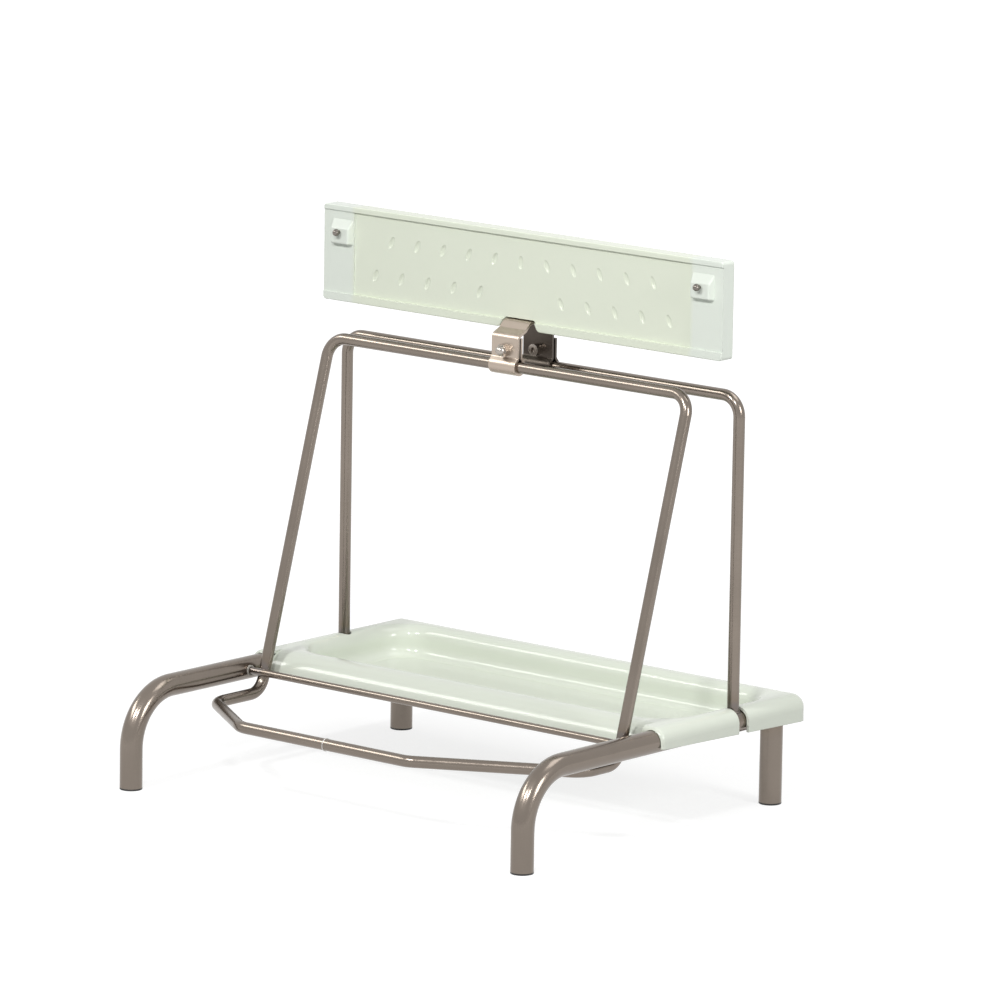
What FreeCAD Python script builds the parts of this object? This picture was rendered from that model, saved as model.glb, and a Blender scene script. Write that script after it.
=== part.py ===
"""Foot-operated bag stand of stainless tube with a moulded tray and a backboard.

Millimetres. +Z is up, X runs along the bars, -Y is the pedal side.
The origin is on the floor under the centre of the stand.
Distances named "setback" count backwards from the axis of the front legs.
"""
import FreeCAD, Part
import math
import os
import re
import Sketcher
from FreeCAD import Placement, Rotation, Vector

os.makedirs("parts", exist_ok=True)
doc = FreeCAD.newDocument("bag_stand")

SIZES = [
    # main tube: front legs, side runs and the rear cross run
    ("tube_dia", 25.0),
    ("tube_wall", 1.5),
    ("half_span", 279.0),
    ("rail_height", 106.5),
    ("front_bend", 62.0),
    ("rear_bend", 45.0),
    ("rear_setback", 447.0),
    ("seam_lead", 8.0),
    # foot plugs
    ("plug_head", 2.0),
    ("plug_stem", 14.0),
    ("plug_wall", 2.5),
    ("plug_fit", 0.05),
    # bar frames
    ("rod_dia", 13.0),
    ("frame_bend", 22.0),
    ("upright_setback", 349.0),
    ("rear_bar_height", 461.5),
    # swinging frame: it pivots on the axle and leans back until its bar stands in front of the rear bar
    ("axle_dia", 8.0),
    ("axle_setback", 179.0),
    ("axle_inset", 2.0),
    ("swing_gap", 24.0),
    ("bar_gap", 55.58),
    ("front_bar_rise", 5.94),
    ("pedal_drop", 23.5),
    ("pedal_bend", 22.0),
    ("pedal_corner", 28.0),
    ("pedal_reach", 142.0),
    ("left_arm_reach", 70.0),
    ("right_arm_reach", 50.0),
    ("pedal_bar_left", 152.0),
    ("pedal_bar_right", 86.0),
    # pivot bushes
    ("bush_dia", 10.0),
    ("bush_flange_dia", 11.4),
    ("bush_flange", 0.8),
    ("bush_length", 10.0),
    ("shaft_fit", 0.06),
    # tray
    ("tray_skin", 3.0),
    ("seat_gap", 0.3),
    ("tray_setback", 210.0),
    ("apron_lead", 4.0),
    ("skirt_height", 95.0),
    ("side_front_height", 100.0),
    ("side_rear_height", 92.5),
    ("rim_flat", 1.6),
    ("rim_nose", 6.0),
    ("tray_corner", 15.5),
    ("basin_setback", 252.0),
    ("basin_depth", 34.0),
    ("basin_corner", 40.0),
    ("basin_fillet", 12.0),
    ("slot_width", 16.0),
    # strap clips on the two bars
    ("strap_thick", 3.0),
    ("strap_fit", 0.05),
    ("strap_width", 37.0),
    ("rear_strap_width", 41.0),
    ("neck_slope", 50.0),
    ("neck_bend", 4.0),
    ("leaf_gap", 2.2),
    ("leaf_rise", 31.5),
    ("shoulder_rise", 33.0),
    ("shelf_run", 12.0),
    ("shelf_rise", 5.5),
    ("ridge_run", 19.5),
    ("ridge_rise", 13.0),
    ("strap_bend", 5.0),
    ("bolt_dia", 8.0),
    ("bolt_rise", 17.6),
    ("hex_across", 13.0),
    ("nut_height", 6.5),
    ("socket_head_dia", 13.0),
    ("socket_head_height", 8.0),
    ("socket_across", 6.0),
    # backboard
    ("panel_half", 283.0),
    ("panel_rise", 37.56),
    ("panel_height", 107.0),
    ("panel_depth", 19.0),
    ("panel_offset", 36.58),
    ("panel_skin", 2.5),
    ("panel_corner", 4.0),
    ("lip_top", 6.0),
    ("lip_bottom", 9.0),
    ("lip_proud", 1.5),
    ("end_zone", 44.0),
    ("field_recess", 1.5),
    ("notch_half", 27.0),
    ("notch_top_half", 20.5),
    ("notch_height", 11.5),
    ("notch_corner", 3.0),
    ("notch_flare", 6.0),
    ("cheek_rise", 16.0),
    ("pad_height", 42.0),
    ("pad_thick", 5.0),
    ("boss_inset", 27.5),
    ("boss_width", 31.0),
    ("boss_low", 63.5),
    ("boss_high", 93.0),
    ("boss_proud", 7.0),
    ("boss_side_slope", 3.0),
    ("boss_low_slope", 1.5),
    ("boss_high_slope", 11.0),
    ("boss_round", 2.2),
    ("dimple_length", 16.0),
    ("dimple_width", 7.0),
    ("dimple_depth", 1.9),
    ("dimple_lift", 1.1),
    ("dimple_lean", 24.0),
    ("upper_dimple_height", 73.0),
    ("upper_dimple_pitch", 37.1),
    ("lower_dimple_height", 34.0),
    ("lower_dimple_start", 57.5),
    ("lower_dimple_pitch", 37.75),
    # studs, screws and the rest stop
    ("stud_ball_dia", 8.0),
    ("stud_neck_dia", 4.0),
    ("stud_rise", 78.0),
    ("stud_stand_off", 5.0),
    ("stud_nut_across", 7.0),
    ("stud_nut_height", 3.2),
    ("screw_dia", 4.0),
    ("screw_head_dia", 7.0),
    ("screw_head_height", 2.4),
    ("screw_bite", 4.0),
    ("low_screw_rise", 15.0),
    ("high_screw_rise", 43.0),
    ("buffer_rise", 29.0),
    ("buffer_dia", 18.0),
    ("buffer_stud_dia", 6.0),
    ("buffer_stud_bite", 7.0),
    ("buffer_nut_across", 10.0),
    ("buffer_nut_height", 5.0),
]

sheet = doc.addObject("Spreadsheet::Sheet", "Sizes")
for row, (alias, number) in enumerate(SIZES, start=1):
    sheet.set("A%d" % row, alias)
    sheet.set("B%d" % row, str(number))
    sheet.setAlias("B%d" % row, alias)
doc.recompute()
ALIASES = [alias for alias, number in SIZES]


class Read:
    """Numbers read back from the sheet."""


s = Read()
for alias in ALIASES:
    setattr(s, alias, float(getattr(sheet, alias)))

# the stand is centred between the front of the legs and the back of the tray
FRONT = "(-(rear_setback + tray_skin + seat_gap)/2)"
front_y = -(s.rear_setback + s.tray_skin + s.seat_gap)/2
CROWN = "(rail_height + tube_dia/2 + seat_gap + tray_skin)"
ROLL = "(tube_dia/2 + seat_gap + tray_skin)"
nodes = []


# height and setback of the swinging bar, and where the backboard stands beyond it
BAR_HEIGHT = "(rear_bar_height + front_bar_rise)"
BAR_SETBACK = "(upright_setback - bar_gap)"
PANEL_BOTTOM = "(%s + panel_rise)" % BAR_HEIGHT
PANEL_BACK = "(%s + %s + panel_offset)" % (FRONT, BAR_SETBACK)
BOSS_X = "(panel_half - boss_inset)"
bar_height = s.rear_bar_height + s.front_bar_rise
panel_bottom = bar_height + s.panel_rise
swing_half = s.half_span - s.swing_gap


def sized(match):
    word = match.group(0)
    return "Sizes." + word if word in ALIASES else word


def expression(text):
    return re.sub(r"[a-z][a-z_]+", sized, text)


def bind(thing, **values):
    for name, text in values.items():
        thing.setExpression(name.replace("__", "."), expression(text))
    return thing


def node(name, thing):
    thing.Label = name
    nodes.append(thing)
    return thing


def box(name, x, y, z, dx, dy, dz):
    thing = doc.addObject("Part::Box", name)
    return bind(thing, Length=dx, Width=dy, Height=dz, Placement__Base__x=x, Placement__Base__y=y,
                Placement__Base__z=z)


TURN = {"X": Rotation(Vector(0, 1, 0), 90), "Y": Rotation(Vector(1, 0, 0), -90), "Z": Rotation()}


def rod(name, axis, x, y, z, radius, length):
    """A cylinder along +X, +Y or +Z from its centre point at x, y, z."""
    thing = doc.addObject("Part::Cylinder", name)
    thing.Placement = Placement(Vector(), TURN[axis])
    return bind(thing, Radius=radius, Height=length, Placement__Base__x=x, Placement__Base__y=y,
                Placement__Base__z=z)


def hexagon(name, axis, x, y, z, across, height):
    thing = doc.addObject("Part::Prism", name)
    thing.Polygon = 6
    thing.Placement = Placement(Vector(), TURN[axis])
    return bind(thing, Circumradius="(%s)/2/cos(30)" % across, Height=height, Placement__Base__x=x,
                Placement__Base__y=y, Placement__Base__z=z)


def cut(name, base, *tools):
    thing = doc.addObject("Part::Cut", name)
    thing.Base = base
    thing.Tool = tools[0] if len(tools) == 1 else fuse(name + "_tools", *tools)
    return thing


def fuse(name, *shapes):
    thing = doc.addObject("Part::MultiFuse", name)
    thing.Shapes = list(shapes)
    return thing


def group(name, *shapes):
    thing = doc.addObject("Part::Compound", name)
    thing.Links = list(shapes)
    return thing


def fillet(name, base, radius, chosen):
    """Round the edges of base for which chosen(edge) is true."""
    doc.recompute()
    thing = doc.addObject("Part::Fillet", name)
    thing.Base = base
    thing.Edges = [(i, radius, radius) for i, edge in enumerate(base.Shape.Edges, start=1) if chosen(edge)]
    return thing


def rounded(points, radii):
    """Straight runs joined by tangent arcs, one radius for each inner point."""
    edges = []
    last = points[0]
    for before, corner, after, radius in zip(points, points[1:], points[2:], radii):
        back = (before - corner).normalize()
        ahead = (after - corner).normalize()
        half = back.getAngle(ahead)/2
        start = corner + back*(radius/math.tan(half))
        end = corner + ahead*(radius/math.tan(half))
        centre = corner + (back + ahead).normalize()*(radius/math.sin(half))
        if start.distanceToPoint(last) > 1e-4:
            edges.append(Part.LineSegment(last, start).toShape())
        middle = centre + (corner - centre).normalize()*radius
        edges.append(Part.Arc(start, middle, end).toShape())
        last = end
    edges.append(Part.LineSegment(last, points[-1]).toShape())
    return edges


def bent_bar(name, points, radii, radius):
    """A round section of the given radius swept along a bent centre line."""
    path = doc.addObject("Part::Feature", name + "_path")
    path.Shape = Part.Wire(rounded(points, radii))
    section = doc.addObject("Part::Circle", name + "_section")
    section.Placement = Placement(points[0], Rotation(Vector(0, 0, 1), points[1] - points[0]))
    bind(section, Radius=radius)
    bar = doc.addObject("Part::Sweep", name)
    bar.Sections = [section]
    bar.Spine = (path, ["Edge%d" % (i + 1) for i in range(len(path.Shape.Edges))])
    bar.Solid = True
    return bar


def shifted(points, radii, offset):
    """The same bent line moved sideways in the YZ plane, to the left of its run for offset > 0."""
    ways = [(b - a).normalize() for a, b in zip(points, points[1:])]
    lefts = [Vector(0, -way.z, way.y) for way in ways]
    moved = [points[0] + lefts[0]*offset]
    for corner, before, after in zip(points[1:], lefts, lefts[1:]):
        moved.append(corner + (before + after)*(offset/(1 + before.dot(after))))
    moved.append(points[-1] + lefts[-1]*offset)
    turns = [1 if a.cross(b).x > 0 else -1 for a, b in zip(ways, ways[1:])]
    return rounded(moved, [radius - offset*turn for radius, turn in zip(radii, turns)])


def strap(name, points, radii, width):
    """A flat strip bent along points in the YZ plane and as wide as width along X."""
    left = shifted(points, radii, s.strap_thick/2)
    right = shifted(points, radii, -s.strap_thick/2)
    ends = []
    for at in (0, -1):
        ends.append(Part.LineSegment(left[at].Vertexes[at].Point, right[at].Vertexes[at].Point).toShape())
    profile = doc.addObject("Part::Feature", name + "_profile")
    profile.Shape = Part.Wire(Part.__sortEdges__(left + right + ends))
    strip = doc.addObject("Part::Extrusion", name)
    strip.Base = profile
    strip.DirMode = "Custom"
    strip.Dir = Vector(1, 0, 0)
    strip.Solid = True
    strip.Symmetric = True
    return bind(strip, LengthFwd=width)


# ---- main tube: two side tubes, the rear cross tube and two rear legs

def side_tube(side, sign):
    x = sign*s.half_span
    points = [Vector(x, front_y, s.plug_head), Vector(x, front_y, s.rail_height),
              Vector(x, front_y + s.rear_setback - s.rear_bend - s.seam_lead, s.rail_height)]
    skin = bent_bar(side + "_side_outside", points, [s.front_bend], "tube_dia/2")
    bore = bent_bar(side + "_side_bore", points, [s.front_bend], "tube_dia/2 - tube_wall")
    start = "half_span - tube_dia" if sign > 0 else "-half_span"
    eye = rod(side + "_bush_eye", "X", start, FRONT + " + axle_setback", "rail_height",
              "bush_dia/2 + plug_fit", "tube_dia")
    node(side + "_side_tube", cut(side + "_side_cut", skin, bore, eye))
    return skin


def cross_tube():
    y = front_y + s.rear_setback
    seam = y - s.rear_bend - s.seam_lead
    z = s.rail_height
    points = [Vector(-s.half_span, seam, z), Vector(-s.half_span, y, z), Vector(s.half_span, y, z),
              Vector(s.half_span, seam, z)]
    skin = bent_bar("cross_outside", points, [s.rear_bend]*2, "tube_dia/2")
    bore = bent_bar("cross_bore", points, [s.rear_bend]*2, "tube_dia/2 - tube_wall")
    node("rear_cross_tube", cut("cross_cut", skin, bore))
    return skin


# a rear leg is welded under the middle of each rear corner bend
LEG_IN = "(rear_bend*(1 - cos(45)))"
LEG_X = "(half_span - %s)" % LEG_IN
LEG_Y = "(%s + rear_setback - %s)" % (FRONT, LEG_IN)


def rear_leg(side, sign, cross):
    x = LEG_X if sign > 0 else "-" + LEG_X
    outside = rod(side + "_leg_outside", "Z", x, LEG_Y, "plug_head", "tube_dia/2", "rail_height - plug_head - 1")
    bore = rod(side + "_leg_bore", "Z", x, LEG_Y, "0", "tube_dia/2 - tube_wall", "rail_height")
    node("rear_%s_leg" % side, cut(side + "_leg_cut", outside, bore, cross))


def foot_plug(name, x, y):
    head = rod(name + "_head", "Z", x, y, "0", "tube_dia/2", "plug_head")
    stem = rod(name + "_stem", "Z", x, y, "plug_head", "tube_dia/2 - tube_wall - plug_fit", "plug_stem")
    core = rod(name + "_core", "Z", x, y, "plug_head", "tube_dia/2 - tube_wall - plug_wall", "plug_stem + 1")
    rim = fillet(name + "_rim", head, 0.6, lambda edge: edge.BoundBox.ZMax < 0.01)
    node(name, cut(name + "_cut", fuse(name + "_solid", rim, stem), core))


# ---- rear frame

def upright(side, sign, skin):
    x = "half_span" if sign > 0 else "-half_span"
    bar = rod(side + "_upright_bar", "Z", x, FRONT + " + upright_setback", "rail_height", "rod_dia/2",
              "rear_bar_height - frame_bend - seam_lead - rail_height")
    node(side + "_upright", cut(side + "_upright_cut", bar, skin))


def rear_bar():
    y = front_y + s.upright_setback
    top = s.rear_bar_height
    low = top - s.frame_bend - s.seam_lead
    points = [Vector(-s.half_span, y, low), Vector(-s.half_span, y, top), Vector(s.half_span, y, top),
              Vector(s.half_span, y, low)]
    node("rear_bar", bent_bar("rear_bar_sweep", points, [s.frame_bend]*2, "rod_dia/2"))


# ---- swinging frame

AXLE_Y = front_y + s.axle_setback
ROD_BACK = (s.axle_dia + s.rod_dia)/2
bar_behind = s.upright_setback - s.bar_gap - s.axle_setback
bar_above = bar_height - s.rail_height
LEAN = math.atan2(bar_behind, bar_above) - math.asin(ROD_BACK/math.hypot(bar_behind, bar_above))
SIN = math.sin(LEAN)
COS = math.cos(LEAN)
SWING_LENGTH = (bar_above + ROD_BACK*SIN)/COS


def swing(x, along, back=ROD_BACK):
    """A point of the swinging frame: along its rods from the axle, and behind the axle."""
    return Vector(x, AXLE_Y + back*COS + along*SIN, s.rail_height - back*SIN + along*COS)


def front_bar():
    low = SWING_LENGTH - s.frame_bend - s.seam_lead
    ends = [swing(-swing_half, low), swing(-swing_half, SWING_LENGTH)]
    ends += [swing(swing_half, SWING_LENGTH), swing(swing_half, low)]
    node("front_bar", bent_bar("front_bar_sweep", ends, [s.frame_bend]*2, "rod_dia/2"))
    return low


# the rods end where the pedal bends begin, at the level of the pedal
BEND_ALONG = (ROD_BACK*SIN - s.pedal_drop)/COS
PEDAL_TURN = math.pi/2 - LEAN
ROD_LOW = BEND_ALONG + s.pedal_bend*math.tan(PEDAL_TURN/2) + s.seam_lead/2


def swing_rod(side, sign, high):
    bar = doc.addObject("Part::Cylinder", side + "_swing_bar")
    bar.Height = high - ROD_LOW
    bar.Placement = Placement(swing(sign*swing_half, ROD_LOW), Rotation(Vector(1, 0, 0), -math.degrees(LEAN)))
    bind(bar, Radius="rod_dia/2")
    node(side + "_swing_rod", bar)


def pedal_bar():
    z = s.rail_height - s.pedal_drop
    points = [swing(-swing_half, ROD_LOW), swing(-swing_half, BEND_ALONG),
              Vector(-swing_half, AXLE_Y - s.left_arm_reach, z),
              Vector(-s.pedal_bar_left, AXLE_Y - s.pedal_reach, z),
              Vector(s.pedal_bar_right, AXLE_Y - s.pedal_reach, z),
              Vector(swing_half, AXLE_Y - s.right_arm_reach, z),
              swing(swing_half, BEND_ALONG), swing(swing_half, ROD_LOW)]
    radii = [s.pedal_bend, s.pedal_corner, s.pedal_corner, s.pedal_corner, s.pedal_corner, s.pedal_bend]
    node("pedal_bar", bent_bar("pedal_sweep", points, radii, "rod_dia/2"))


def axle_and_bushes(left_skin, right_skin):
    y = FRONT + " + axle_setback"
    node("pivot_axle", rod("axle_bar", "X", "-half_span - axle_inset", y, "rail_height", "axle_dia/2",
                           "2*(half_span + axle_inset)"))
    for side, sign, skin in (("left", -1, left_skin), ("right", 1, right_skin)):
        face = "(half_span - tube_dia/2 - bush_flange)"
        flange_start = face if sign > 0 else "-half_span"
        flange = rod(side + "_flange", "X", flange_start, y, "rail_height", "bush_flange_dia/2",
                     "tube_dia/2 + bush_flange")
        saddle = cut(side + "_saddle", flange, skin)
        sleeve_start = face if sign > 0 else "-%s - bush_length" % face
        sleeve = rod(side + "_sleeve", "X", sleeve_start, y, "rail_height", "bush_dia/2", "bush_length")
        bore_start = "0" if sign > 0 else "-half_span"
        bore = rod(side + "_bush_bore", "X", bore_start, y, "rail_height", "axle_dia/2 + shaft_fit", "half_span")
        node(side + "_axle_bush", cut(side + "_bush_cut", fuse(side + "_bush_solid", saddle, sleeve), bore))


# ---- tray

def level(edge, height):
    return abs(edge.BoundBox.ZMax - height) < 0.01 and abs(edge.BoundBox.ZMin - height) < 0.01


def upright_edge(edge):
    return edge.BoundBox.ZLength > 5 and edge.BoundBox.XLength < 0.01 and edge.BoundBox.YLength < 0.01


def rim_block(name, gap, bottom, radius, corner):
    """The rolled rim as a solid, or with gap its hollow underside, open to the front bay."""
    half = "(half_span + %s - %s)" % (ROLL, gap)
    start = "(%s + tray_setback + %s)" % (FRONT, gap)
    end = "(%s + rear_setback + %s - %s)" % (FRONT, ROLL, gap)
    block = box(name + "_block", "-" + half, start, bottom, "2*" + half, "%s - %s" % (end, start),
                "%s - %s - %s" % (CROWN, gap, bottom))
    back = front_y + s.rear_setback
    top = s.rail_height + s.tube_dia/2 + s.seat_gap + (0 if gap != "0" else s.tray_skin)
    corners = fillet(name + "_corners", block, corner, lambda e: upright_edge(e) and e.BoundBox.YMin > back)
    rolled = fillet(name + "_rolled", corners, radius,
                    lambda e: level(e, top) and e.CenterOfMass.y > front_y + s.tray_setback + 9)
    if gap != "0":
        return rolled
    front = front_y + s.tray_setback
    nose = fillet(name + "_nose", rolled, s.rim_nose, lambda e: abs(e.BoundBox.YMax - front) < 0.01
                  and e.CenterOfMass.z > s.side_rear_height + 1)
    slope = doc.addObject("Part::Wedge", name + "_slope")
    bind(slope, Xmin="-half_span - 30", Xmax="half_span + 30", X2min="-half_span - 30", X2max="half_span + 30",
         Ymin=start + " - 1", Ymax=end + " + 1", Zmin="60", Z2min="60", Zmax="side_front_height",
         Z2max="side_rear_height")
    return cut(name, nose, slope)


def tray():
    roll = s.tube_dia/2 + s.seat_gap + s.tray_skin - s.rim_flat/2
    crown = s.rail_height + s.tube_dia/2 + s.seat_gap + s.tray_skin
    inner = "(half_span - %s)" % ROLL
    well = "(%s + tray_skin)" % inner
    nose = "(%s - skirt_height)" % CROWN
    bay_end = "(%s + tray_setback - apron_lead + %s)" % (FRONT, nose)
    outer = rim_block("tray_rim", "0", "side_rear_height", roll, s.tray_corner)
    hollow = rim_block("tray_hollow", "tray_skin", "(side_rear_height - 5)", roll - s.tray_skin,
                       s.tray_corner - s.tray_skin)

    # the front apron is a quarter round between the two side rims
    bay = box("front_bay", "-" + well, FRONT + " + tray_setback - 5", "skirt_height - 10", "2*" + well,
              "%s - %s - tray_setback + 5" % (bay_end, FRONT), "60")
    aprons = []
    for name, gap in (("apron", "0"), ("apron_hollow", "tray_skin")):
        quarter = rod(name, "X", "-%s + %s" % (well, gap), bay_end, "skirt_height", "%s - %s" % (nose, gap),
                      "2*%s - 2*%s" % (well, gap))
        quarter.Placement.Rotation = Rotation(Vector(0, 1, 0), 90).multiply(Rotation(Vector(0, 0, 1), 180))
        quarter.Angle = 90
        aprons.append(quarter)
    solid = fuse("tray_solid", cut("rim_with_bay", outer, bay), aprons[0])

    # the basin: its pocket, and the wall around it below the rolled rim
    back = "(%s + rear_setback - %s)" % (FRONT, ROLL)
    start = "(%s + basin_setback)" % FRONT
    floor = "(%s - basin_depth)" % CROWN
    pocket = basin("basin_pocket", inner, start, back, floor, "60", s.basin_corner, s.basin_fillet, "0")
    wall = basin("basin_wall", inner, start, back, floor, "basin_depth - %s + rim_flat/2" % ROLL,
                 s.basin_corner + s.tray_skin, s.basin_fillet + s.tray_skin, "tray_skin")
    plug = basin("basin_plug", inner, start, back, floor, "60", s.basin_corner + s.tray_skin,
                 s.basin_fillet + s.tray_skin, "tray_skin")
    open_top = cut("tray_open", solid, pocket)
    soft = fillet("tray_soft", open_top, roll,
                  lambda e: level(e, crown) and abs(e.CenterOfMass.x) < s.half_span - 5
                  and front_y + s.basin_setback - 1 < e.CenterOfMass.y < front_y + s.rear_setback - roll + 5
                  and e.Length > 5)
    under = cut("under_ring", fuse("under_solid", cut("hollow_with_bay", hollow, bay), aprons[1]), plug)
    under_soft = fillet("under_soft", under, roll - s.tray_skin,
                        lambda e: level(e, crown - s.tray_skin) and abs(e.CenterOfMass.x) < s.half_span - 9
                        and front_y + s.basin_setback - s.tray_skin - 1 < e.CenterOfMass.y
                        < front_y + s.rear_setback - roll + 8 and e.Length > 5)
    body = fuse("tray_body", soft, cut("basin_shell", wall, pocket))

    # the side rims are open in front for the tubes and slotted for the uprights
    cutters = [under_soft]
    for side, sign in (("left", -1), ("right", 1)):
        x = "half_span" if sign > 0 else "-half_span"
        reach = "(tube_dia/2 + seat_gap)"
        cutters.append(rod(side + "_mouth", "Y", x, FRONT + " + tray_setback - 10", "rail_height", reach, "30"))
        cutters.append(box(side + "_mouth_below", "%s - %s" % (x, reach), FRONT + " + tray_setback - 10",
                           "skirt_height - 10", "2*" + reach, "30", "rail_height - skirt_height + 10"))
        y = FRONT + " + upright_setback"
        cutters.append(rod(side + "_slot_end", "Z", x, y, "skirt_height - 10", "slot_width/2", "60"))
        edge = x if sign > 0 else x + " - 30"
        cutters.append(box(side + "_slot", edge, y + " - slot_width/2", "skirt_height - 10", "30",
                           "slot_width", "60"))
    node("tray", cut("tray_cut", body, *cutters))


def basin(name, half, start, end, floor, height, corner, bottom, wall):
    block = box(name + "_block", "-%s - %s" % (half, wall), "%s - %s" % (start, wall), "%s - %s" % (floor, wall),
                "2*%s + 2*%s" % (half, wall), "%s - %s + 2*%s" % (end, start, wall), "%s + %s" % (height, wall))
    corners = fillet(name + "_corners", block, corner, upright_edge)
    low = s.rail_height + s.tube_dia/2 + s.seat_gap + s.tray_skin - s.basin_depth - (s.tray_skin if wall != "0" else 0)
    return fillet(name, corners, bottom, lambda e: level(e, low))


# ---- strap clips

def clip_points(y, z, above):
    """Centre line of a clip: its front leaf comes down from above, wraps the bar, and its back leaf ends behind."""
    wrap = s.rod_dia/2 + s.strap_fit + s.strap_thick/2
    leaf = (s.strap_thick + s.leaf_gap)/2
    slope = math.radians(s.neck_slope)
    neck = wrap*math.cos(slope) + (wrap*math.sin(slope) - leaf)*math.tan(slope)
    side = wrap*(1 - math.sin(slope))/math.cos(slope)
    points = above + [Vector(0, y - leaf, z + neck), Vector(0, y - wrap, z + side), Vector(0, y - wrap, z - wrap),
                      Vector(0, y + wrap, z - wrap), Vector(0, y + wrap, z + side), Vector(0, y + leaf, z + neck),
                      Vector(0, y + leaf, z + s.leaf_rise)]
    return points, [s.neck_bend] + [wrap]*4 + [s.neck_bend]


BAR = swing(0, SWING_LENGTH)
PAD_BACK = "(%s - panel_depth + lip_proud + field_recess + panel_skin + pad_thick)" % PANEL_BACK
pad_back = BAR.y + s.panel_offset - s.panel_depth + s.lip_proud + s.field_recess + s.panel_skin + s.pad_thick
leaf_face = s.strap_thick + s.leaf_gap/2


def clip_strap():
    """The front clip runs on upwards as the strap that carries the backboard."""
    blade = pad_back + s.strap_fit + s.strap_thick/2
    leaf = BAR.y - (s.strap_thick + s.leaf_gap)/2
    shoulder = BAR.z + s.shoulder_rise
    knee = panel_bottom + s.notch_height - s.strap_thick/2 - s.seat_gap*2
    top = panel_bottom + s.notch_height + s.pad_height
    above = [Vector(0, blade, top), Vector(0, blade, knee),
             Vector(0, leaf + s.ridge_run, shoulder + s.ridge_rise),
             Vector(0, leaf + s.shelf_run, shoulder + s.shelf_rise), Vector(0, leaf, shoulder)]
    points, radii = clip_points(BAR.y, BAR.z, above)
    strip = strap("clip_strip", points, [s.strap_bend]*4 + radii, "strap_width")
    tools = [bolt_hole("clip", BAR.y, BAR.z)]
    for rise in ("low_screw_rise", "high_screw_rise"):
        tools.append(rod("strap_" + rise, "Y", "0", PAD_BACK + " - 3", PANEL_BOTTOM + " + " + rise,
                         "screw_dia/2 + plug_fit", "10"))
    node("clip_strap", cut("clip_cut", strip, *tools))


def bolt_hole(name, y, z):
    hole = rod(name + "_bolt_hole", "Y", "0", "0", "0", "bolt_dia/2 + plug_fit", "30")
    return at(hole, 0, y - 15, z + s.bolt_rise)


def at(thing, x, y, z):
    """Put a finished piece where its numbers come from a bent bar."""
    for name in "xyz":
        thing.setExpression("Placement.Base." + name, None)
    thing.Placement.Base = Vector(x, y, z)
    return thing


def clip_bolt():
    """Hexagon bolt from behind and domed nut in front."""
    z = BAR.z + s.bolt_rise
    front = BAR.y - leaf_face
    back = BAR.y + leaf_face
    head = at(hexagon("bolt_head", "Y", "0", "0", "0", "hex_across", "nut_height"), 0, back, z)
    shank = at(rod("bolt_shank", "Y", "0", "0", "0", "bolt_dia/2", "1"), 0, front - s.nut_height, z)
    shank.setExpression("Height", expression("nut_height + 2*strap_thick + leaf_gap"))
    node("clip_bolt", fuse("bolt_solid", head, shank))
    hexa = at(hexagon("dome_hex", "Y", "0", "0", "0", "hex_across", "nut_height"), 0, front - s.nut_height, z)
    ball = doc.addObject("Part::Sphere", "dome_ball")
    bind(ball, Radius="hex_across*0.46")
    ball.Placement.Base = Vector(0, front - s.nut_height, z)
    thread = at(rod("dome_bore", "Y", "0", "0", "0", "bolt_dia/2", "nut_height"), 0, front - s.nut_height, z)
    node("clip_nut", cut("dome_cut", fuse("dome_solid", hexa, ball), thread))


def rear_clip():
    y = front_y + s.upright_setback
    top = panel_bottom + s.buffer_rise + s.buffer_dia/2 + 4
    points, radii = clip_points(y, s.rear_bar_height, [Vector(0, y - (s.strap_thick + s.leaf_gap)/2, top)])
    strip = strap("rear_strip", points, radii, "rear_strap_width")
    stud = rod("rear_stud_hole", "Y", "0", FRONT + " + upright_setback - rod_dia", PANEL_BOTTOM + " + buffer_rise",
               "buffer_stud_dia/2 + plug_fit", "20")
    node("rear_clip", cut("rear_clip_cut", strip, bolt_hole("rear", y, s.rear_bar_height), stud))
    front = y - leaf_face
    back = y + leaf_face
    z = s.rear_bar_height + s.bolt_rise
    head = at(rod("socket_head", "Y", "0", "0", "0", "socket_head_dia/2", "socket_head_height"), 0,
              front - s.socket_head_height, z)
    socket = at(hexagon("socket", "Y", "0", "0", "0", "socket_across", "socket_head_height*0.6"), 0,
                front - s.socket_head_height, z)
    shank = at(rod("socket_shank", "Y", "0", "0", "0", "bolt_dia/2", "1"), 0, front, z)
    shank.setExpression("Height", expression("2*strap_thick + leaf_gap + nut_height + 1"))
    node("rear_clip_screw", cut("socket_cut", fuse("socket_solid", head, shank), socket))
    nut = at(hexagon("rear_nut_hex", "Y", "0", "0", "0", "hex_across", "nut_height"), 0, back, z)
    bore = at(rod("rear_nut_bore", "Y", "0", "0", "0", "bolt_dia/2", "nut_height"), 0, back, z)
    node("rear_clip_nut", cut("rear_nut_cut", nut, bore))


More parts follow.
